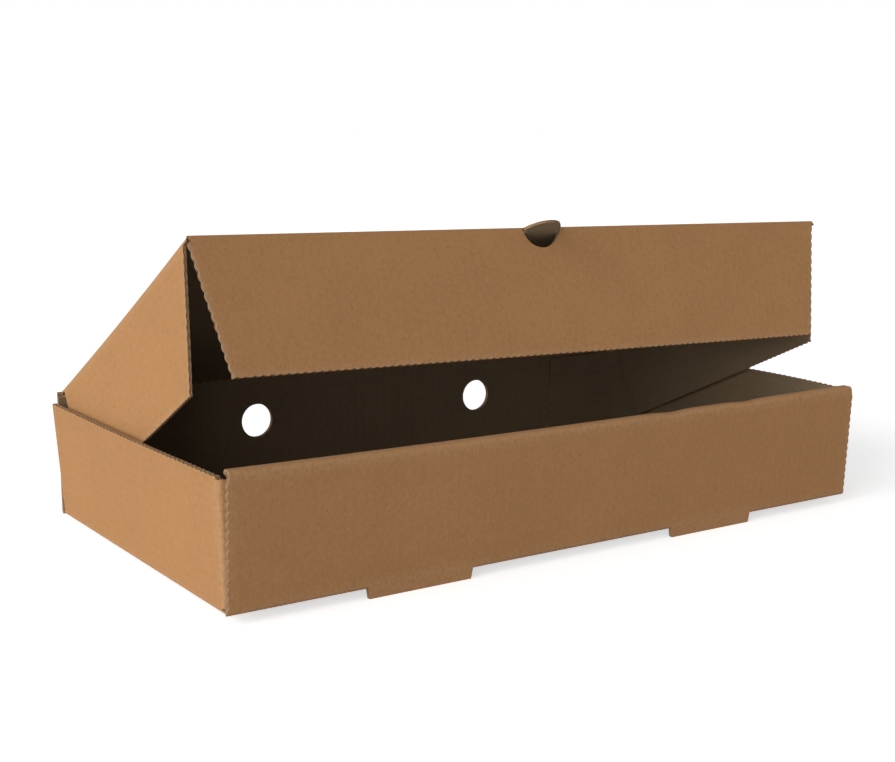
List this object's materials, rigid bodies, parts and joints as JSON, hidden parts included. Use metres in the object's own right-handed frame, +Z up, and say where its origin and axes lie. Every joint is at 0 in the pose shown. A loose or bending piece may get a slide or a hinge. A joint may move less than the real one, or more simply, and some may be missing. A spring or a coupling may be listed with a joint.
{
  "type": "corrugated cardboard delivery box",
  "caption": "Shallow corrugated cardboard box with a hinged lid standing half open, a rolled front wall, vent holes and serrated cut edges.",
  "frame": {"origin": "on the floor under the middle of the base, at the level of the tips of the feet", "axes": "+X to the box's right seen from the front, +Y to the rear, +Z up; the front faces -Y"},
  "size_m": [0.508, 0.2653, 0.2111],
  "materials": {
    "board": "matt unbleached kraft"
  },
  "bodies": {
    "tray": {"tray": "board"},
    "lid": {"lid_panel": "board"},
    "front_flap": {"lid_front_flap": "board"},
    "left_flap": {"lid_left_flap": "board"},
    "right_flap": {"lid_right_flap": "board"}
  },
  "joints": [
    {"name": "lid_hinge", "type": "hinge", "parent": "tray", "child": "lid", "pos_m": [0, 0.131, 0.0915], "axis": [-1, 0, 0], "range_deg": [-27, 153]},
    {"name": "front_flap_fold", "type": "hinge", "parent": "lid", "child": "front_flap", "pos_m": [0, -0.09353, 0.20591], "axis": [-1, 0, 0], "range_deg": [-3, 101.5]},
    {"name": "left_flap_fold", "type": "hinge", "parent": "lid", "child": "left_flap", "pos_m": [-0.243, 0.01737, 0.14603], "axis": [0, -0.891, 0.454], "range_deg": [0, 85]},
    {"name": "right_flap_fold", "type": "hinge", "parent": "lid", "child": "right_flap", "pos_m": [0.243, 0.01737, 0.14603], "axis": [0, 0.891, -0.454], "range_deg": [0, 85]}
  ]
}
